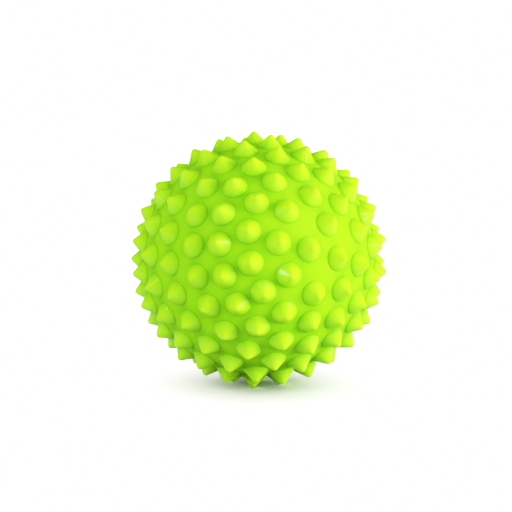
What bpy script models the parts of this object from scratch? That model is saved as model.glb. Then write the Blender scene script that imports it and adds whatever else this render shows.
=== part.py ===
"""Spiked massage ball: a hollow soft vinyl ball with conical spikes, closed by a plug in an air valve.

Metres, +Z up. The ball lies on three spike tips at z = 0, with its centre over the origin.
In the ball's own frame +Z is the mould axis, the seam lies in the XY plane, and the valve is at -Z.
"""
import bmesh
import bpy
import numpy as np
from math import acos, asin, cos, pi, radians, sin
from mathutils import Vector

# Skin and spikes
SKIN_RADIUS = 0.0407  # centre of the ball to the skin between the spikes
WALL = 0.0025  # thickness of the skin
SPIKE_HEIGHT = 0.0043  # skin to spike tip, so the ball is 90 mm over its tips
SPIKE_BASE_RADIUS = 0.00443
SPIKE_TIP_RADIUS = 0.0005  # the small blunt end of each cone
SPIKE_SIDES = 10

# Pattern of the spikes, the same on both halves of the mould
SEAM_TO_FIRST_ROW = 0.0056  # along the skin
LAST_ROW_TO_POLE = 0.0070  # along the skin
GAP_BETWEEN_ROWS = 0.0012  # least room between the bases of two rows
GAP_IN_ROW = 0.00162  # least room between the bases in one row
ROW_WAVE = 1.0  # degrees that the rows are eased away from an even spacing
ROW_STARTS = (3.0, 4.2, 10.8, 6.1, 7.1, -14.6)  # degrees round the axis to each row's first spike

# Air valve
GAP = 0.0003  # clearance between separate pieces
PLUG_HEAD_RADIUS = 0.0046
PLUG_HEAD_THICKNESS = 0.0010
PLUG_PIN_RADIUS = 0.0015
PLUG_PIN_LENGTH = 0.0085
PLUG_PIN_TAPER = 0.0004  # how much thinner the pin's end is
SEAT_WALL = 0.0019  # rubber around the pin
SEAT_RIM = 0.0028  # how far the inner flange stands out from the seat
SEAT_RIM_THICKNESS = 0.0014
SEAT_NOSE = 0.0022  # length of the seat beyond its flange
BOSS_WALL = 0.0034  # vinyl around the seat
BOSS_DEPTH = 0.0043  # how far the boss reaches in from the skin's inner face
RECESS_MARGIN = 0.0014  # room round the plug's head for a fingernail
PATCH_MARGIN = 0.0030  # bare skin kept round the recess
ROUND_SIDES = 32

# How the ball lies once it has settled on three spikes, in degrees about X, Y and Z
BALL_LEAN = (15.9, -73.9, 108.3)

# Sizes that follow from the ones above
TIP_HEIGHT = SKIN_RADIUS + SPIKE_HEIGHT
CAVITY_RADIUS = SKIN_RADIUS - WALL
PLUG_HEAD_BOTTOM = SKIN_RADIUS - PLUG_HEAD_THICKNESS
RECESS_RADIUS = PLUG_HEAD_RADIUS + RECESS_MARGIN
RECESS_FLOOR = PLUG_HEAD_BOTTOM - GAP
PATCH_RADIUS = RECESS_RADIUS + PATCH_MARGIN
BORE_RADIUS = PLUG_PIN_RADIUS + GAP
SEAT_RADIUS = BORE_RADIUS + SEAT_WALL
HOLE_RADIUS = SEAT_RADIUS + GAP
BOSS_RADIUS = HOLE_RADIUS + BOSS_WALL
BOSS_END = CAVITY_RADIUS - BOSS_DEPTH
RIM_TOP = BOSS_END - GAP
RIM_BOTTOM = RIM_TOP - SEAT_RIM_THICKNESS
SEAT_END = RIM_BOTTOM - SEAT_NOSE


def clear_scene():
    for old in list(bpy.data.objects):
        bpy.data.objects.remove(old, do_unlink=True)


def new_collection(name):
    collection = bpy.data.collections.new(name)
    bpy.context.scene.collection.children.link(collection)
    return collection


def new_material(name, colour, roughness, metallic=0.0):
    material = bpy.data.materials.new(name)
    material.use_nodes = True
    shader = material.node_tree.nodes["Principled BSDF"]
    shader.inputs["Base Color"].default_value = (*colour, 1.0)
    shader.inputs["Roughness"].default_value = roughness
    shader.inputs["Metallic"].default_value = metallic
    material.diffuse_color = (*colour, 1.0)
    return material


def new_object(name, mesh, collection, parent, material=None):
    obj = bpy.data.objects.new(name, mesh)
    collection.objects.link(obj)
    obj.parent = parent
    if material:
        mesh.materials.append(material)
    return obj


def new_empty(name, collection, parent=None):
    empty = bpy.data.objects.new(name, None)
    empty.empty_display_size = 0.01
    collection.objects.link(empty)
    empty.parent = parent
    return empty


def spike_rows():
    """Latitude, number of spikes and first angle of each row of one half, from the seam to the pole."""
    first = SEAM_TO_FIRST_ROW / SKIN_RADIUS
    last = pi / 2 - LAST_ROW_TO_POLE / SKIN_RADIUS
    steps = int((last - first) * SKIN_RADIUS / (2 * SPIKE_BASE_RADIUS + GAP_BETWEEN_ROWS))
    spacing = 2 * SPIKE_BASE_RADIUS + GAP_IN_ROW
    rows = []
    for k in range(steps + 1):
        t = k / steps
        latitude = first + (last - first) * t + radians(ROW_WAVE) * sin(2 * pi * t) * (1 - t)
        row_radius = SKIN_RADIUS * cos(latitude)
        count = int(pi / asin(min(1.0, spacing / (2 * row_radius))))
        rows.append((latitude, count, radians(ROW_STARTS[k % len(ROW_STARTS)])))
    return rows


def on_ball(latitude, angle):
    return Vector((cos(latitude) * cos(angle), cos(latitude) * sin(angle), sin(latitude)))


def spike_directions():
    """One unit vector for each spike. The second half of the mould is the first one turned over."""
    directions = []
    for half in (1, -1):
        for latitude, count, start in spike_rows():
            to_pole = (pi / 2 - latitude) * SKIN_RADIUS
            if half == -1 and to_pole - SPIKE_BASE_RADIUS < PATCH_RADIUS:
                continue  # the valve takes this row's place
            for i in range(count):
                directions.append(on_ball(half * latitude, half * (start + 2 * pi * i / count)))
    return directions


def ring_on_skin(direction, radius, sides):
    """Points of a circle drawn on the skin round a direction."""
    across = direction.cross(Vector((0, 0, 1)))
    across = across.normalized() if across.length > 1e-6 else Vector((1, 0, 0))
    up = across.cross(direction)
    lift = acos(0) - asin(radius / SKIN_RADIUS)
    for i in range(sides):
        turn = 2 * pi * i / sides
        side = across * cos(turn) + up * sin(turn)
        yield SKIN_RADIUS * (direction * sin(lift) + side * cos(lift))


def spiked_body():
    """The outside of the ball: the bases lie on a hull, and each base is drawn out into a cone."""
    bm = bmesh.new()
    spike_of = bm.verts.layers.int.new("spike")
    for number, direction in enumerate(spike_directions(), start=1):
        for point in ring_on_skin(direction, SPIKE_BASE_RADIUS, SPIKE_SIDES):
            bm.verts.new(point)[spike_of] = number
    valve_end = Vector((0, 0, -1))
    bm.verts.new(valve_end * SKIN_RADIUS)
    for third in (1, 2, 3):
        for point in ring_on_skin(valve_end, PATCH_RADIUS * third / 3, 6 * third):
            bm.verts.new(point)
    bmesh.ops.convex_hull(bm, input=bm.verts[:], use_existing_faces=False)

    bases = {}
    for face in bm.faces:
        numbers = {vert[spike_of] for vert in face.verts}
        if len(numbers) == 1 and 0 not in numbers:
            bases.setdefault(numbers.pop(), []).append(face)
    caps = []
    for faces in bases.values():
        caps += bmesh.ops.dissolve_faces(bm, faces=faces, use_verts=False)["region"]

    flat_to_flat = cos(pi / SPIKE_SIDES)
    base_plane = (SKIN_RADIUS**2 - SPIKE_BASE_RADIUS**2) ** 0.5
    bmesh.ops.inset_individual(
        bm,
        faces=caps,
        thickness=(SPIKE_BASE_RADIUS - SPIKE_TIP_RADIUS) * flat_to_flat,
        depth=TIP_HEIGHT - base_plane,
        use_even_offset=True,
    )
    bmesh.ops.recalc_face_normals(bm, faces=bm.faces[:])
    mesh = bpy.data.meshes.new("spiked_shell")
    bm.to_mesh(mesh)
    bm.free()
    return mesh


def turned(name, profile, closed):
    """A Screw modifier turns a profile of (radius, height) points, drawn down its outer side."""
    count = len(profile)
    edges = [(i, i + 1) for i in range(count - 1)]
    if closed:
        edges.append((count - 1, 0))
    mesh = bpy.data.meshes.new(name)
    mesh.from_pydata([(r, 0, z) for r, z in profile], edges, [])
    return mesh


def add_screw(obj, merge):
    screw = obj.modifiers.new("Turn", "SCREW")
    screw.axis = "Z"
    screw.angle = 2 * pi
    screw.steps = ROUND_SIDES
    screw.render_steps = ROUND_SIDES
    screw.use_merge_vertices = merge
    screw.merge_threshold = 0.00001
    screw.use_smooth_shade = True


def add_boolean(obj, cutter):
    cut = obj.modifiers.new(cutter.name, "BOOLEAN")
    cut.operation = "DIFFERENCE"
    cut.solver = "EXACT"
    cut.object = cutter


def cylinder_cutter(name, collection, parent, radius, low, high):
    bm = bmesh.new()
    bmesh.ops.create_cone(
        bm, cap_ends=True, segments=ROUND_SIDES, radius1=radius, radius2=radius, depth=high - low
    )
    bmesh.ops.translate(bm, verts=bm.verts[:], vec=(0, 0, (high + low) / 2))
    mesh = bpy.data.meshes.new(name)
    bm.to_mesh(mesh)
    bm.free()
    return as_cutter(new_object(name, mesh, collection, parent))


def as_cutter(obj):
    obj.hide_render = True
    obj.display_type = "WIRE"
    return obj


def lowest_point(mesh, rotation):
    return min((rotation @ vert.co).z for vert in mesh.vertices)


clear_scene()
parts = new_collection("massage_ball")
cutters = new_collection("massage_ball_cutters")

lime_vinyl = new_material("lime_vinyl", (0.41, 0.80, 0.016), 0.32)
valve_rubber = new_material("valve_rubber", (0.30, 0.62, 0.02), 0.5)
plug_plastic = new_material("plug_plastic", (0.78, 0.80, 0.72), 0.35)

# The ball's own frame, and the valve's: its +Z points out through the valve.
ball_centre = new_empty("ball_centre", parts)
ball_centre.rotation_euler = [radians(angle) for angle in BALL_LEAN]
valve_axis = new_empty("valve_axis", parts, ball_centre)
valve_axis.rotation_euler = (pi, 0, 0)

shell_mesh = spiked_body()
ball_centre.location.z = -lowest_point(shell_mesh, ball_centre.rotation_euler.to_matrix())
spiked_shell = new_object("spiked_shell", shell_mesh, parts, ball_centre, lime_vinyl)

# The air space inside, less the boss that holds the valve
boss = cylinder_cutter("boss_keep", cutters, valve_axis, BOSS_RADIUS, BOSS_END, TIP_HEIGHT)
bm = bmesh.new()
bmesh.ops.create_uvsphere(bm, u_segments=24, v_segments=12, radius=CAVITY_RADIUS)
cavity_mesh = bpy.data.meshes.new("air_space")
bm.to_mesh(cavity_mesh)
bm.free()
air_space = as_cutter(new_object("air_space", cavity_mesh, cutters, ball_centre))
add_boolean(air_space, boss)
add_boolean(spiked_shell, air_space)

# A round recess for the plug's head, and a hole through the boss for the seat
recess = cylinder_cutter("recess_cut", cutters, valve_axis, RECESS_RADIUS, RECESS_FLOOR, TIP_HEIGHT)
hole = cylinder_cutter(
    "hole_cut", cutters, valve_axis, HOLE_RADIUS, BOSS_END - SEAT_NOSE, RECESS_FLOOR + GAP
)
add_boolean(spiked_shell, recess)
add_boolean(spiked_shell, hole)
shell_mesh.shade_smooth()
shell_mesh.set_sharp_from_angle(angle=radians(35))

# The seat is a rubber bush in the hole, with a flange under the boss
seat_profile = [
    (BORE_RADIUS, RECESS_FLOOR),
    (SEAT_RADIUS, RECESS_FLOOR),
    (SEAT_RADIUS, RIM_TOP),
    (SEAT_RADIUS + SEAT_RIM, RIM_TOP),
    (SEAT_RADIUS + SEAT_RIM, RIM_BOTTOM),
    (SEAT_RADIUS, RIM_BOTTOM),
    (BORE_RADIUS + SEAT_WALL / 2, SEAT_END),
    (BORE_RADIUS, SEAT_END),
]
valve_seat = new_object(
    "valve_seat", turned("valve_seat", seat_profile, True), parts, valve_axis, valve_rubber
)
add_screw(valve_seat, merge=False)

# The plug's origin is on the valve axis, at the underside of its head
plug_profile = [
    (0, PLUG_HEAD_THICKNESS),
    (PLUG_HEAD_RADIUS - PLUG_HEAD_THICKNESS / 4, PLUG_HEAD_THICKNESS),
    (PLUG_HEAD_RADIUS, PLUG_HEAD_THICKNESS * 3 / 4),
    (PLUG_HEAD_RADIUS, 0),
    (PLUG_PIN_RADIUS, 0),
    (PLUG_PIN_RADIUS, -PLUG_PIN_LENGTH / 2),
    (PLUG_PIN_RADIUS - PLUG_PIN_TAPER, -PLUG_PIN_LENGTH),
    (0, -PLUG_PIN_LENGTH),
]
valve_plug = new_object(
    "valve_plug", turned("valve_plug", plug_profile, False), parts, valve_axis, plug_plastic
)
valve_plug.location.z = PLUG_HEAD_BOTTOM
add_screw(valve_plug, merge=True)

bpy.context.view_layer.update()
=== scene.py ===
"""Looks for the spiked massage ball: a moulded vinyl skin, a rubber valve seat and a moulded plug.

The skin is worked in the ball's own frame, with +Z as the mould axis and the valve at -Z, and is then
turned and set down as the ball lies.
"""
from math import acos, asin, cos, exp, pi, radians, sin, sqrt, tan

import bmesh
import bpy
from mathutils import Matrix, Vector
from mathutils.kdtree import KDTree


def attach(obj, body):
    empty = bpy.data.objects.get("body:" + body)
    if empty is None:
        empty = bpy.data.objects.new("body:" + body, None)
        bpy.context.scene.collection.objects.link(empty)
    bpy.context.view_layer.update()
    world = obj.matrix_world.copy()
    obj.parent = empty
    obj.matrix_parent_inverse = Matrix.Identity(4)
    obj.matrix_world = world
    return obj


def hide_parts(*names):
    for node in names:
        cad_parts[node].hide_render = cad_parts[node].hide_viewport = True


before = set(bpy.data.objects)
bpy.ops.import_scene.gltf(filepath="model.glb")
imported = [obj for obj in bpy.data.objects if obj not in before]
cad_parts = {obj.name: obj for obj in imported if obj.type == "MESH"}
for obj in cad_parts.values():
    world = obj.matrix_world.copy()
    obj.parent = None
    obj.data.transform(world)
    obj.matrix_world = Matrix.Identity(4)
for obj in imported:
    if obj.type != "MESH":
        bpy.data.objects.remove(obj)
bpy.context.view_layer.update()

# ---------------------------------------------------------------- sizes, in metres

# Skin and spikes
SKIN_RADIUS = 0.0407
WALL = 0.0025
SPIKE_HEIGHT = 0.0043
SPIKE_BASE_RADIUS = 0.00443
SPIKE_SLOPE = radians(42.5)  # between a spike's axis and its side
SKIRT_SLOPE = radians(22)  # the same for the steeper skirt round its foot
SPIKE_TIP = 0.04503  # centre of the ball to a spike's tip
SPIKE_TIP_ROUND = 0.0012
SKIRT_ROUND = 0.0012
FOOT_ROUND = 0.00035
SPIKE_SIDES = 24
SKIN_MESH = (0.0030, 0.0016, 0.0016)  # the longest edge left between the spikes by each splitting
VALLEY_WIDTH = 0.0021  # how far from a spike's foot the skin still lies in its valley
THIRD_SPIKE_SHARE = 0.6  # how much the third nearest spike hems in a point, beside the second
TURNED_PITCH = 0.00030  # up a spike, between the faint rings that the turned mould left on it

# Pattern of the spikes, the same on both halves of the mould
SEAM_TO_FIRST_ROW = 0.0056
LAST_ROW_TO_POLE = 0.0070
GAP_BETWEEN_ROWS = 0.0012
GAP_IN_ROW = 0.00162
ROW_WAVE = 1.0  # the most that a row strays from even spacing, in degrees of latitude
ROW_STARTS = (3.0, 4.2, 10.8, 6.1, 7.1, -14.6)  # the angle of each row's first spike, in degrees

# Air valve, as distances from the ball's centre along the valve's axis, and radii about it
PLUG_HEAD_RADIUS = 0.0046
PLUG_HEAD_TOP = SKIN_RADIUS
PLUG_HEAD_BOTTOM = 0.0397
PLUG_PIN_RADIUS = 0.0015
PLUG_PIN_END_RADIUS = 0.0011
PLUG_PIN_END = 0.0312
PLUG_DISH_DEPTH = 0.00018
PLUG_DISH = (0.74, 0.66)  # where the dish in the head starts and is full, as parts of its radius
PLUG_DIMPLE_DEPTH = 0.0003
PLUG_DIMPLE = (0.0008, 0.0006)  # radii of the moulding dimple's mouth and floor
RECESS_RADIUS = 0.0060
RECESS_FLOOR = 0.0394
RECESS_RIM_ROUND = 0.00025
RECESS_FLOOR_ROUND = 0.00015
PATCH_RADIUS = 0.0090  # bare skin round the recess
PATCH_RINGS = (0.0070, 0.0080, PATCH_RADIUS)
HOLE_RADIUS = 0.0040
HOLE_CHAMFER = 0.0001
BOSS_RADIUS = 0.0074
BOSS_END = 0.0339
CAVITY_RADIUS = SKIN_RADIUS - WALL
CAVITY_STEPS = 22
CAVITY_POLE = 0.001  # radius of the last ring before the air space closes
SEAT_RADIUS = 0.0037
SEAT_BORE = 0.0018
SEAT_FLARE = 0.00035  # the mouth of the bore is opened to lead the pin in
SEAT_RIM_RADIUS = 0.0065
SEAT_RIM_TOP = 0.0336
SEAT_RIM_BOTTOM = 0.0322
SEAT_END = 0.0300
ROUND_SIDES = 64
SMOOTH_ANGLE = radians(50)  # faces that meet at less than this are shaded as one

# How the ball lies
BALL_LEAN = (15.9, -73.9, 108.3)  # degrees about X, Y and Z, in that order
BALL_CENTRE = Vector((0, 0, 0.0443373))
BALL_TURN = Matrix.Identity(3)
for turn, axis in zip(BALL_LEAN, "XYZ"):
    BALL_TURN = Matrix.Rotation(radians(turn), 3, axis) @ BALL_TURN
MOULD_AXIS = BALL_TURN @ Vector((0, 0, 1))
VALVE_AXIS = -MOULD_AXIS
VALVE = Vector((0, 0, -1))  # the same axis in the ball's own frame

# Camera: its angles in degrees, its distance and aim in metres, and its lens in millimetres
CAMERA_AZIMUTH = -0.133
CAMERA_ELEVATION = 9.04
CAMERA_ROLL = 0.85
CAMERA_DISTANCE = 0.9
CAMERA_AIM = (-0.000997, 0.001175)  # right of and above the ball's centre
CAMERA_LENS = 180.3

# Light, and how it is shown
ROOM_LIGHT = 0.34
BACKDROP_LIGHT = 2.5  # a white backdrop behind the sweep, which only the camera sees
FLOOR_BOUNCE = (0.26, 0.26, 0.26, 1)  # the floor's colour as it lights the ball
FLOOR_SEEN = (1.37, 1.28, 1.33, 1)  # its colour to the camera
WHITE_LEVEL = 1.9  # the light that is shown as full white
# Parts of the white level, and how bright each is shown
TONE_CURVE = ((0.22, 0.41), (0.35, 0.60), (0.46, 0.73), (0.62, 0.84), (0.81, 0.94))


# ---------------------------------------------------------------- working with meshes


def deselect_all():
    if bpy.context.mode != "OBJECT":
        bpy.ops.object.mode_set(mode="OBJECT")
    bpy.ops.object.select_all(action="DESELECT")


def add_disc(radius, sides, place, facing, filled=True):
    bpy.ops.mesh.primitive_circle_add(
        vertices=sides, radius=radius, fill_type="NGON" if filled else "NOTHING",
        location=place, rotation=facing.to_track_quat("Z", "Y").to_euler(),
    )


def start_disc(name, radius, sides, place, facing):
    """A filled disc, placed, named and opened in edit mode with its face selected."""
    deselect_all()
    add_disc(radius, sides, place, facing)
    disc = bpy.context.object
    disc.name = disc.data.name = name
    bpy.ops.object.transform_apply(location=True, rotation=True, scale=True)
    bpy.ops.object.mode_set(mode="EDIT")
    return disc


def select_edges(test):
    """Selects the edges of the mesh being worked on that pass the test, and returns how many there are."""
    bpy.context.tool_settings.mesh_select_mode = (False, True, False)
    bpy.ops.mesh.select_all(action="DESELECT")
    bm = bmesh.from_edit_mesh(bpy.context.object.data)
    found = 0
    for edge in bm.edges:
        if test(edge):
            edge.select_set(True)
            found += 1
    bmesh.update_edit_mesh(bpy.context.object.data)
    return found


def select_sided(sides):
    """Selects the faces with this number of sides, and returns how many there are."""
    bpy.context.tool_settings.mesh_select_mode = (False, False, True)
    bpy.ops.mesh.select_all(action="DESELECT")
    bpy.ops.mesh.select_face_by_sides(number=sides, type="EQUAL")
    bm = bmesh.from_edit_mesh(bpy.context.object.data)
    return sum(face.select for face in bm.faces)


def draw_out(profile, up):
    """Carries the selected round face along a profile of (radius, distance along up), ring by ring."""
    radius, height = profile[0]
    for new_radius, new_height in profile[1:]:
        bpy.ops.mesh.extrude_region_move(
            TRANSFORM_OT_translate={"value": up * (new_height - height)}
        )
        if new_radius != radius:
            grow = new_radius / radius
            bpy.ops.transform.resize(value=(grow, grow, 1), center_override=up * new_height)
        radius, height = new_radius, new_height


def arc(centre, radius, start, end, steps):
    """Points of an arc in (radius, height), by angle from the radius axis, with both its ends."""
    for i in range(steps + 1):
        turn = radians(start + (end - start) * i / steps)
        yield centre[0] + radius * cos(turn), centre[1] + radius * sin(turn)


def finish_mesh():
    """Turns the faces of the mesh being worked on outwards, leaves edit mode and smooths its shading."""
    bpy.ops.mesh.select_all(action="SELECT")
    bpy.ops.mesh.normals_make_consistent(inside=False)
    bpy.ops.mesh.select_all(action="DESELECT")
    bpy.ops.object.mode_set(mode="OBJECT")
    bpy.ops.object.shade_smooth_by_angle(angle=SMOOTH_ANGLE)


def set_in_ball(piece):
    """Turns a piece worked in the ball's frame, and sets it down as the ball lies."""
    deselect_all()
    piece.select_set(True)
    bpy.context.view_layer.objects.active = piece
    piece.matrix_world = Matrix.Translation(BALL_CENTRE) @ BALL_TURN.to_4x4()
    bpy.ops.object.transform_apply(location=True, rotation=True, scale=True)


# ---------------------------------------------------------------- the spiked skin


def spike_rows():
    """Latitude, number of spikes and first angle of each row of one half, from the seam to the pole."""
    first = SEAM_TO_FIRST_ROW / SKIN_RADIUS
    last = pi / 2 - LAST_ROW_TO_POLE / SKIN_RADIUS
    steps = int((last - first) * SKIN_RADIUS / (2 * SPIKE_BASE_RADIUS + GAP_BETWEEN_ROWS))
    spacing = 2 * SPIKE_BASE_RADIUS + GAP_IN_ROW
    rows = []
    for row in range(steps + 1):
        t = row / steps
        latitude = first + (last - first) * t + radians(ROW_WAVE) * sin(2 * pi * t) * (1 - t)
        count = int(pi / asin(min(1.0, spacing / (2 * SKIN_RADIUS * cos(latitude)))))
        rows.append((latitude, count, radians(ROW_STARTS[row % len(ROW_STARTS)])))
    return rows


def on_ball(latitude, angle):
    """The direction from the ball's centre to a point on it."""
    return Vector((cos(latitude) * cos(angle), cos(latitude) * sin(angle), sin(latitude)))


def spike_directions():
    """The direction of every spike's axis, leaving out those that would stand on the valve's patch."""
    directions = []
    for half in (1, -1):
        for latitude, count, start in spike_rows():
            to_pole = (pi / 2 - latitude) * SKIN_RADIUS
            if half == -1 and to_pole - SPIKE_BASE_RADIUS < PATCH_RADIUS:
                continue
            for i in range(count):
                directions.append(on_ball(half * latitude, half * (start + 2 * pi * i / count)))
    return directions


def skin_height(radius):
    """How far along a spike's or the valve's axis the skin is, at a radius about that axis."""
    return sqrt(SKIN_RADIUS**2 - radius**2)


def rounded(before, corner, after, radius, steps):
    """Points of the arc that rounds off a corner between two straight lines."""
    back, on = (before - corner).normalized(), (after - corner).normalized()
    half = acos(max(-1.0, min(1.0, back.dot(on)))) / 2
    reach = radius / tan(half)
    centre = corner + (back + on).normalized() * (radius / sin(half))
    start, end = corner + back * reach - centre, corner + on * reach - centre
    swing = start.angle_signed(end)
    return [centre + Matrix.Rotation(-swing * i / steps, 2) @ start for i in range(steps + 1)]


def spike_profile():
    """(radius, height) of the rings of one spike, from the skin round its foot to near its tip."""
    corner = Vector((SPIKE_BASE_RADIUS, skin_height(SPIKE_BASE_RADIUS)))
    skin_run = 0.001  # length of skin outside the foot that its rounding starts from
    outer = SPIKE_BASE_RADIUS + skin_run
    on_skin = Vector((outer, skin_height(outer)))
    apex = Vector((0, SPIKE_TIP + SPIKE_TIP_ROUND * (1 / sin(SPIKE_SLOPE) - 1)))
    # The skirt rises until it meets the straight side
    rise = (apex.y - corner.y - corner.x / tan(SPIKE_SLOPE)) / (1 - tan(SKIRT_SLOPE) / tan(SPIKE_SLOPE))
    shoulder = Vector((corner.x - rise * tan(SKIRT_SLOPE), corner.y + rise))
    other_side = Vector((-shoulder.x, shoulder.y))
    rings = rounded(on_skin, corner, shoulder, FOOT_ROUND, 3)
    rings[0].y = skin_height(rings[0].x)
    rings += rounded(corner, shoulder, apex, SKIRT_ROUND, 3)
    tip_steps = 10  # from one side of the spike over its tip to the other
    tip = rounded(shoulder, apex, other_side, SPIKE_TIP_ROUND, tip_steps)[:tip_steps // 2]
    rings += [rings[-1].lerp(tip[0], t) for t in (0.1, 0.5, 0.9)]
    return rings + tip


def mark_valleys(skin, directions):
    """Records how closely spikes hem in each point of the skin, for painted shade to darken its colour
    there.
    """
    tree = KDTree(len(directions))
    for i, direction in enumerate(directions):
        tree.insert(direction, i)
    tree.balance()
    shade_between_spikes = []
    for vert in skin.data.vertices:
        near = [
            min(1.0, exp((SPIKE_BASE_RADIUS - SKIN_RADIUS * distance) / VALLEY_WIDTH))
            for _, _, distance in tree.find_n(vert.co.normalized(), 3)
        ]
        shade_between_spikes.append(min(1.0, near[0] * (near[1] + THIRD_SPIKE_SHARE * near[2])))
    skin.data.attributes.new("shade_between_spikes", "FLOAT", "POINT").data.foreach_set("value", shade_between_spikes)


def valve_profile():
    """(radius, distance along the valve's axis) of the recess, hole, boss and wall of the air space."""
    rim = RECESS_RADIUS + RECESS_RIM_ROUND
    top = skin_height(rim)
    third = RECESS_FLOOR_ROUND / 3
    profile = [(rim, top)]
    profile += list(arc((rim, top - RECESS_RIM_ROUND), -RECESS_RIM_ROUND, -90, 0, 4))[1:]
    profile += [
        (RECESS_RADIUS, RECESS_FLOOR + RECESS_FLOOR_ROUND),
        (RECESS_RADIUS - third, RECESS_FLOOR + third),
        (RECESS_RADIUS - RECESS_FLOOR_ROUND, RECESS_FLOOR),
        (HOLE_RADIUS + HOLE_CHAMFER, RECESS_FLOOR),
        (HOLE_RADIUS, RECESS_FLOOR - HOLE_CHAMFER),
        (HOLE_RADIUS, BOSS_END),
        (BOSS_RADIUS, BOSS_END),
        (BOSS_RADIUS, sqrt(CAVITY_RADIUS**2 - BOSS_RADIUS**2)),
    ]
    from_axis = asin(BOSS_RADIUS / CAVITY_RADIUS)
    for i in range(1, CAVITY_STEPS):
        turn = from_axis + (pi - from_axis) * i / CAVITY_STEPS
        profile.append((CAVITY_RADIUS * sin(turn), CAVITY_RADIUS * cos(turn)))
    return profile + [(CAVITY_POLE, -CAVITY_RADIUS)]


def make_skin():
    """The hollow skin with all its spikes, and the recess, hole and boss for the valve."""
    rings = spike_profile()
    foot = rings[0]
    directions = spike_directions()
    valve = valve_profile()

    # The foot of each spike, and the valve's recess, are discs whose rims lie on the skin
    first = directions[0]
    skin = start_disc("spiked_skin", foot.x, SPIKE_SIDES, first * foot.y, first)
    for direction in directions[1:]:
        add_disc(foot.x, SPIKE_SIDES, direction * foot.y, direction)
    rim, top = valve[0]
    add_disc(rim, ROUND_SIDES, VALVE * top, VALVE)
    for ring in PATCH_RINGS:
        add_disc(ring, ROUND_SIDES, VALVE * skin_height(ring), VALVE, filled=False)
    bpy.ops.mesh.select_all(action="SELECT")
    bpy.ops.mesh.convex_hull(use_existing_faces=True, join_triangles=False, delete_unused=True)

    # The skin between the feet is split finer, and brought back to a ball
    for longest in SKIN_MESH:
        if select_edges(
            lambda edge: edge.calc_length() > longest and all(len(f.verts) == 3 for f in edge.link_faces)
        ):
            bpy.ops.mesh.subdivide(number_cuts=1)
            bpy.ops.mesh.quads_convert_to_tris()
    bpy.ops.object.mode_set(mode="OBJECT")
    ball = skin.modifiers.new("Ball", "CAST")
    ball.cast_type = "SPHERE"
    ball.factor = 1.0
    ball.use_radius_as_size = False
    ball.size = SKIN_RADIUS
    bpy.ops.object.modifier_apply(modifier=ball.name)
    bpy.ops.object.mode_set(mode="EDIT")

    # Every foot is drawn up into its spike
    if select_sided(SPIKE_SIDES) != len(directions):
        raise RuntimeError("a spike's foot was lost from the skin")
    flat_to_corner = cos(pi / SPIKE_SIDES)
    for low, high in zip(rings, rings[1:]):
        bpy.ops.mesh.inset(
            use_individual=True, use_even_offset=True,
            thickness=(low.x - high.x) * flat_to_corner, depth=high.y - low.y,
        )
    bpy.ops.mesh.poke(offset=SPIKE_TIP - rings[-1].y)

    # The recess is carried inwards through the hole and boss, and round the wall of the air space
    if select_sided(ROUND_SIDES) != 1:
        raise RuntimeError("the valve's recess was lost from the skin")
    draw_out(valve, VALVE)
    bpy.ops.mesh.merge(type="COLLAPSE")

    finish_mesh()
    # Where painted shade will fall between the spikes
    mark_valleys(skin, directions)
    return skin


# ---------------------------------------------------------------- the valve's pieces


def round_edges(piece, width, steps):
    """Closes the turned mesh being worked on, and rounds its sharp edges."""
    bpy.ops.mesh.select_all(action="SELECT")
    bpy.ops.mesh.remove_doubles(threshold=0.000001)
    bpy.ops.mesh.normals_make_consistent(inside=False)
    bpy.ops.object.mode_set(mode="OBJECT")
    bevel = piece.modifiers.new("Round edges", "BEVEL")
    bevel.width = width
    bevel.segments = steps
    bevel.limit_method = "ANGLE"
    bevel.angle_limit = radians(40)
    bpy.ops.object.modifier_apply(modifier=bevel.name)
    # Where two roundings meet, their corners may fall together
    bpy.ops.object.mode_set(mode="EDIT")
    bpy.ops.mesh.select_all(action="SELECT")
    bpy.ops.mesh.remove_doubles(threshold=0.000005)
    finish_mesh()


def make_seat():
    """The rubber bush that grips the plug's pin, with its flange inside the ball."""
    profile = [
        (SEAT_BORE + SEAT_FLARE, RECESS_FLOOR),
        (SEAT_RADIUS, RECESS_FLOOR),
        (SEAT_RADIUS, SEAT_RIM_TOP),
        (SEAT_RIM_RADIUS, SEAT_RIM_TOP),
        (SEAT_RIM_RADIUS, SEAT_RIM_BOTTOM),
        (SEAT_RADIUS, SEAT_RIM_BOTTOM),
        ((SEAT_RADIUS + SEAT_BORE) / 2, SEAT_END),
        (SEAT_BORE, SEAT_END),
        (SEAT_BORE, RECESS_FLOOR - SEAT_FLARE * 1.5),
        (SEAT_BORE + SEAT_FLARE, RECESS_FLOOR),
    ]
    radius, height = profile[0]
    seat = start_disc("valve_bush", radius, ROUND_SIDES, VALVE * height, VALVE)
    bpy.ops.mesh.delete(type="ONLY_FACE")
    bpy.context.tool_settings.mesh_select_mode = (False, True, False)
    bpy.ops.mesh.select_all(action="SELECT")
    draw_out(profile, VALVE)
    round_edges(seat, width=0.00015, steps=2)
    return seat


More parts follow.
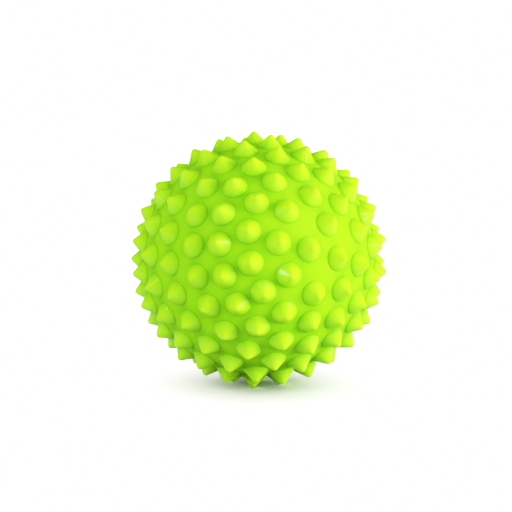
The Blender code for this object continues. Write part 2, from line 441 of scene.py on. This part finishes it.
def make_plug():
    """The moulded plug: a slim tapered pin under a flat round head with a moulding dimple."""
    dish_floor = PLUG_HEAD_TOP - PLUG_DISH_DEPTH
    profile = [
        (PLUG_PIN_END_RADIUS, PLUG_PIN_END),
        (PLUG_PIN_RADIUS, (PLUG_PIN_END + PLUG_HEAD_BOTTOM) / 2),
        (PLUG_PIN_RADIUS, PLUG_HEAD_BOTTOM),
        (PLUG_HEAD_RADIUS, PLUG_HEAD_BOTTOM),
        (PLUG_HEAD_RADIUS, PLUG_HEAD_TOP),
        (PLUG_HEAD_RADIUS * PLUG_DISH[0], PLUG_HEAD_TOP),
        (PLUG_HEAD_RADIUS * PLUG_DISH[1], dish_floor),
        (PLUG_DIMPLE[0], dish_floor),
        (PLUG_DIMPLE[1], dish_floor - PLUG_DIMPLE_DEPTH),
    ]
    radius, height = profile[0]
    plug = start_disc("moulded_plug", radius, ROUND_SIDES, VALVE * height, VALVE)
    draw_out(profile, VALVE)
    round_edges(plug, width=0.00022, steps=3)
    return plug


# ---------------------------------------------------------------- finishes


class Value:
    """A number that varies over a surface. Arithmetic on it adds Math nodes."""

    def __init__(self, finish, socket):
        self.finish, self.socket = finish, socket

    def _math(self, operation, *values):
        return self.finish.node("ShaderNodeMath", {"operation": operation}, values)

    def __add__(self, other): return self._math("ADD", self, other)
    def __radd__(self, other): return self._math("ADD", other, self)
    def __sub__(self, other): return self._math("SUBTRACT", self, other)
    def __rsub__(self, other): return self._math("SUBTRACT", other, self)
    def __mul__(self, other): return self._math("MULTIPLY", self, other)
    def __rmul__(self, other): return self._math("MULTIPLY", other, self)
    def __truediv__(self, other): return self._math("DIVIDE", self, other)
    def __rtruediv__(self, other): return self._math("DIVIDE", other, self)
    def __pow__(self, other): return self._math("POWER", self, other)

    def abs(self): return self._math("ABSOLUTE", self)
    def sine(self): return self._math("SINE", self)
    def clamp(self): return self.finish.node("ShaderNodeClamp", {}, [self, 0.0, 1.0])

    def smooth(self, low, high):
        """0 below low, 1 above high, and an even slope with soft ends between."""
        return self.finish.node(
            "ShaderNodeMapRange", {"interpolation_type": "SMOOTHSTEP"}, [self, low, high, 0.0, 1.0]
        )


class Finish:
    """A material made of nodes, with a Principled shader at its end."""

    def __init__(self, name, **constants):
        self.material = bpy.data.materials.new(name)
        self.material.use_nodes = True
        self.tree = self.material.node_tree
        self.shader = next(n for n in self.tree.nodes if n.type == "BSDF_PRINCIPLED")
        for socket, value in constants.items():
            self.shader.inputs[socket.replace("_", " ").title().replace("Ior", "IOR")].default_value = value
        self.place = self.node("ShaderNodeTexCoord", {}, [], "Object")

    def node(self, kind, settings, values, output=0):
        """Adds a node: its settings first, then the values or links of its sockets, by order or by name."""
        node = self.tree.nodes.new(kind)
        for setting, value in settings.items():
            setattr(node, setting, value)
        pairs = values.items() if isinstance(values, dict) else enumerate(values)
        for key, value in pairs:
            if isinstance(value, Value):
                self.tree.links.new(value.socket, node.inputs[key])
            else:
                node.inputs[key].default_value = value
        return Value(self, node.outputs[output])

    def noise(self, size, detail=2.0, roughness=0.5):
        """Noise from 0 to 1 with lumps of about this size in metres."""
        return self.node(
            "ShaderNodeTexNoise", {},
            {"Vector": self.place, "Scale": 1.0 / size, "Detail": detail, "Roughness": roughness},
        )

    def attribute(self, name):
        """A number that the piece's mesh holds for each of its points."""
        return self.node("ShaderNodeAttribute", {"attribute_name": name}, [], "Fac")

    def blend(self, factor, low, high):
        """From one colour to the other as the factor goes from 0 to 1."""
        return self.node("ShaderNodeMix", {"data_type": "RGBA"}, {0: factor, 6: low, 7: high}, 2)

    def from_point(self, point):
        """The vector from a point in the object's space to the place being shaded."""
        return self.node("ShaderNodeVectorMath", {"operation": "SUBTRACT"}, [self.place, tuple(point)])

    def length(self, vector):
        return self.node("ShaderNodeVectorMath", {"operation": "LENGTH"}, [vector], 1)

    def along(self, vector, axis):
        """How far a vector reaches along an axis."""
        return self.node("ShaderNodeVectorMath", {"operation": "DOT_PRODUCT"}, [vector, tuple(axis)], 1)

    def bump(self, height):
        """A normal from a height in millimetres."""
        return self.node("ShaderNodeBump", {}, {"Strength": 1.0, "Distance": 0.001, "Height": height})

    def drive(self, **sockets):
        """Links values to the shader's sockets, named in lower case with underscores."""
        for socket, value in sockets.items():
            self.tree.links.new(value.socket, self.shader.inputs[socket.replace("_", " ").title()])


def vinyl():
    """Soft lime vinyl: satin, a little see-through, with painted glow making it paler and yellower up the
    spikes, and painted shade round their feet and between them.
    """
    finish = Finish(
        "lime_vinyl_moulded", ior=1.46, specular_ior_level=0.06, coat_roughness=0.11, coat_ior=1.5,
        subsurface_weight=0.35, subsurface_radius=(0.9, 1.0, 0.1), subsurface_scale=0.002,
    )
    lime, light_lime = (0.280, 0.77, 0.006, 1), (0.305, 0.80, 0.007, 1)
    # The tip colour is painted glow of light through the thin tips, and the crease colour is painted shade
    # round each foot.
    tip_glow_lime, foot_shade, pale_fleck = (0.415, 0.95, 0.009, 1), (0.10, 0.42, 0.002, 1), (0.62, 0.95, 0.02, 1)
    # The valley colour is painted shade between closely set spikes.
    valley_shade = (0.06, 0.34, 0.002, 1)

    # Places on the skin, by height over its round surface in metres
    from_centre = finish.from_point(BALL_CENTRE)
    height = finish.length(from_centre) - SKIN_RADIUS
    # How far up a spike a point is; it carries the painted glow towards the tips.
    rise = 1.0 - (1.0 - (height / SPIKE_HEIGHT).clamp()) ** 3.0
    # A thin band just above each spike's foot, which carries the painted shade there.
    foot = height.smooth(0.00001, 0.00006) * (1.0 - height.smooth(0.00010, 0.0004))
    # Low on the skin, where the painted shade between the spikes may fall.
    low_down = 1.0 - height.smooth(0.0004, 0.0038)
    cloud = finish.noise(0.012, 3.0, 0.55)
    speckle = finish.noise(0.0009, 2.0, 0.6)

    # Cloudy lime, with painted glow making it yellower up the spikes, painted shade round each foot and
    # painted shade between the feet
    colour = finish.blend(cloud.smooth(0.3, 0.7), lime, light_lime)
    # Painted glow: paler and yellower up each spike.
    colour = finish.blend(rise, colour, tip_glow_lime)
    # Painted shade round each foot.
    colour = finish.blend(foot * 0.45, colour, foot_shade)
    colour = finish.blend(speckle.smooth(0.35, 0.75) * 0.06, colour, pale_fleck)
    # Painted shade in the valleys between close spikes, low on the skin.
    colour = finish.blend(finish.attribute("shade_between_spikes") * low_down * 0.85, colour, valley_shade)
    finish.drive(
        base_color=colour,
        roughness=0.46 + 0.06 * cloud + 0.05 * speckle,
        coat_weight=height.smooth(0.0002, 0.0012) * (0.2 + 0.7 * speckle).clamp(),
    )

    # Fine grain, faint turned rings on the spikes, and the seam where the mould's halves meet
    rings = (height * (2 * pi / TURNED_PITCH)).sine()
    turned = rings * height.smooth(0.0002, 0.0008) * finish.noise(0.003, 2.0, 0.6).smooth(0.3, 0.7)
    grain = finish.noise(0.00035, 3.0, 0.6) * 0.0006 + finish.noise(0.004, 2.0, 0.5) * 0.01 + turned * 0.0007
    seam = 1.0 - finish.along(from_centre, MOULD_AXIS).abs().smooth(0.00005, 0.00028)
    finish.drive(normal=finish.bump(grain + seam * 0.05))
    return finish.material


def bush_rubber():
    """Moulded rubber a shade deeper than the vinyl, dull, with a dusty bloom in cloudy patches."""
    finish = Finish("valve_rubber_moulded", ior=1.5)
    deep_lime, dusty = (0.27, 0.60, 0.015, 1), (0.42, 0.68, 0.14, 1)
    bloom = finish.noise(0.004, 3.0, 0.6).smooth(0.45, 0.75) * 0.35
    grain = finish.noise(0.00025, 3.0, 0.6) * 0.006 + finish.noise(0.002) * 0.02
    finish.drive(
        base_color=finish.blend(bloom, deep_lime, dusty),
        roughness=0.48 + 0.22 * bloom + 0.08 * finish.noise(0.0006),
        normal=finish.bump(grain),
    )
    return finish.material


def plug_plastic():
    """Natural polyethylene: milky, waxy, with handling scuffs round the rim of the head."""
    finish = Finish(
        "plug_plastic_moulded", ior=1.5,
        subsurface_weight=0.3, subsurface_radius=(1.0, 1.0, 0.8), subsurface_scale=0.001,
    )
    milky, pale, scuffed = (0.72, 0.75, 0.64, 1), (0.82, 0.84, 0.76, 1), (0.60, 0.62, 0.50, 1)
    cloud = finish.noise(0.003, 3.0, 0.6)
    from_head = finish.from_point(BALL_CENTRE + VALVE_AXIS * PLUG_HEAD_TOP)
    rim = finish.length(from_head).smooth(0.0036, PLUG_HEAD_RADIUS)
    scuffs = finish.noise(0.0005, 4.0, 0.7).smooth(0.52, 0.62) * rim
    grain = finish.noise(0.0003, 3.0, 0.6) * 0.003 + finish.noise(0.002) * 0.02 - scuffs * 0.01
    finish.drive(
        base_color=finish.blend(scuffs * 0.5, finish.blend(cloud, milky, pale), scuffed),
        roughness=0.30 + 0.10 * cloud + 0.25 * scuffs,
        normal=finish.bump(grain),
    )
    return finish.material


# ---------------------------------------------------------------- camera, lights and floor


def view_turn():
    """Turns right, up and towards the camera into the directions that they are in the room."""
    return (
        Matrix.Rotation(radians(CAMERA_AZIMUTH), 3, "Z")
        @ Matrix.Rotation(radians(90 - CAMERA_ELEVATION), 3, "X")
        @ Matrix.Rotation(radians(CAMERA_ROLL), 3, "Z")
    )


def place_camera(turned):
    data = bpy.data.cameras.new("camera")
    data.sensor_width = 36
    data.lens = CAMERA_LENS
    data.clip_start = 0.01
    data.clip_end = 50
    camera = bpy.data.objects.new("camera", data)
    bpy.context.scene.collection.objects.link(camera)
    place = BALL_CENTRE + turned @ Vector((*CAMERA_AIM, CAMERA_DISTANCE))
    camera.matrix_world = Matrix.Translation(place) @ turned.to_4x4()
    bpy.context.scene.camera = camera


def add_lamp(name, kind, energy):
    data = bpy.data.lights.new(name, kind)
    data.energy = energy
    lamp = bpy.data.objects.new(name, data)
    bpy.context.scene.collection.objects.link(lamp)
    return lamp


def softbox(name, turned, angles, distance, size, power, shines):
    """A soft light facing the ball, at angles to the right of and above the line to the camera."""
    azimuth, elevation = (radians(angle) for angle in angles)
    towards = turned @ Vector(
        (sin(azimuth) * cos(elevation), sin(elevation), cos(azimuth) * cos(elevation))
    )
    lamp = add_lamp(name, "AREA", power)
    lamp.data.shape = "RECTANGLE"
    lamp.data.size, lamp.data.size_y = size
    lamp.location = BALL_CENTRE + towards * distance
    lamp.rotation_euler = towards.to_track_quat("Z", "Y").to_euler()
    lamp.visible_glossy = shines
    return lamp


def soft_sun(name, energy, spread, lean):
    """An even, broad light from above, leaning by angles about X and Y."""
    sun = add_lamp(name, "SUN", energy)
    sun.data.angle = radians(spread)
    sun.rotation_euler = (radians(lean[0]), radians(lean[1]), 0)
    sun.visible_glossy = False
    return sun


def light_floor_apart(floor, ball_lamps, floor_lamp):
    """The ball's lamps leave the floor out, and the floor's own lamp shines on nothing else."""
    for lamps, state in ((ball_lamps, "EXCLUDE"), ([floor_lamp], "INCLUDE")):
        linked = bpy.data.collections.new("floor_" + state.lower())
        linked.objects.link(floor)
        linked.collection_objects[0].light_linking.link_state = state
        for lamp in lamps:
            lamp.light_linking.receiver_collection = linked


def place_lights(turned, floor):
    """Two tall strips draw the highlights, and broad soft light without a shine fills."""
    strip, panel = (0.022, 2.4), (0.6, 0.7)
    ball_lamps = [
        softbox("key_strip", turned, (60, 0), 0.9, strip, 7, shines=True),
        softbox("fill_strip", turned, (-60, 0), 0.9, strip, 4.5, shines=True),
        softbox("key_panel", turned, (74, 0), 1.3, panel, 40, shines=False),
        softbox("fill_panel", turned, (-72, -14), 1.3, panel, 35, shines=False),
        softbox("front_panel", turned, (0, 8), 1.6, (1.2, 0.8), 12, shines=False),
        soft_sun("overhead", 0.5, 60, (8, 6)),
    ]
    light_floor_apart(floor, ball_lamps, soft_sun("floor_light", 6.5, 150, (0, 0)))


def light_room():
    """An even white all round, brighter where the camera looks straight at it."""
    world = bpy.data.worlds.new("studio")
    world.use_nodes = True
    tree = world.node_tree
    background = tree.nodes["Background"]
    background.inputs["Color"].default_value = (1, 1, 1, 1)
    path = tree.nodes.new("ShaderNodeLightPath")
    strength = tree.nodes.new("ShaderNodeMapRange")
    strength.inputs["To Min"].default_value = ROOM_LIGHT
    strength.inputs["To Max"].default_value = BACKDROP_LIGHT
    tree.links.new(path.outputs["Is Camera Ray"], strength.inputs["Value"])
    tree.links.new(strength.outputs["Result"], background.inputs["Strength"])
    world.cycles_visibility.glossy = False
    bpy.context.scene.world = world


def make_floor():
    """A white paper sweep, bright enough to the camera to have no edge, and a pale floor to the ball."""
    deselect_all()
    bpy.ops.mesh.primitive_plane_add(size=14, location=(0, 3, 0))
    floor = bpy.context.object
    floor.name = "studio_floor"
    paper = bpy.data.materials.new("white_sweep")
    paper.use_nodes = True
    tree = paper.node_tree
    tree.nodes.remove(tree.nodes["Principled BSDF"])
    path = tree.nodes.new("ShaderNodeLightPath")
    mix = tree.nodes.new("ShaderNodeMixShader")
    tree.links.new(path.outputs["Is Camera Ray"], mix.inputs[0])
    for place, colour in ((1, FLOOR_BOUNCE), (2, FLOOR_SEEN)):
        side = tree.nodes.new("ShaderNodeBsdfDiffuse")
        side.inputs["Color"].default_value = colour
        tree.links.new(side.outputs[0], mix.inputs[place])
    tree.links.new(mix.outputs[0], tree.nodes["Material Output"].inputs["Surface"])
    floor.data.materials.append(paper)
    return floor


def set_exposure():
    """A plain view of the light, rolled off softly near white as film does."""
    view = bpy.context.scene.view_settings
    view.view_transform = "Standard"
    view.use_curve_mapping = True
    tone = view.curve_mapping
    tone.extend = "HORIZONTAL"
    tone.white_level = (WHITE_LEVEL, WHITE_LEVEL, WHITE_LEVEL)
    combined = tone.curves[3]
    combined.points[0].location = (0, 0)
    combined.points[1].location = (1, 1)
    for light, shown in TONE_CURVE:
        combined.points.new(light, shown)
    tone.update()


# ---------------------------------------------------------------- the ball and its setting

for make, finish, body, node, slot in (
    (make_skin, vinyl, "ball", "spiked_shell", "lime_vinyl"),
    (make_seat, bush_rubber, "ball", "valve_seat", "valve_rubber"),
    (make_plug, plug_plastic, "plug", "valve_plug", "plug_plastic"),
):
    piece = make()
    set_in_ball(piece)
    piece.data.materials.append(finish())
    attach(piece, body)
    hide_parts(node)

camera_turn = view_turn()
place_camera(camera_turn)
place_lights(camera_turn, make_floor())
light_room()
set_exposure()
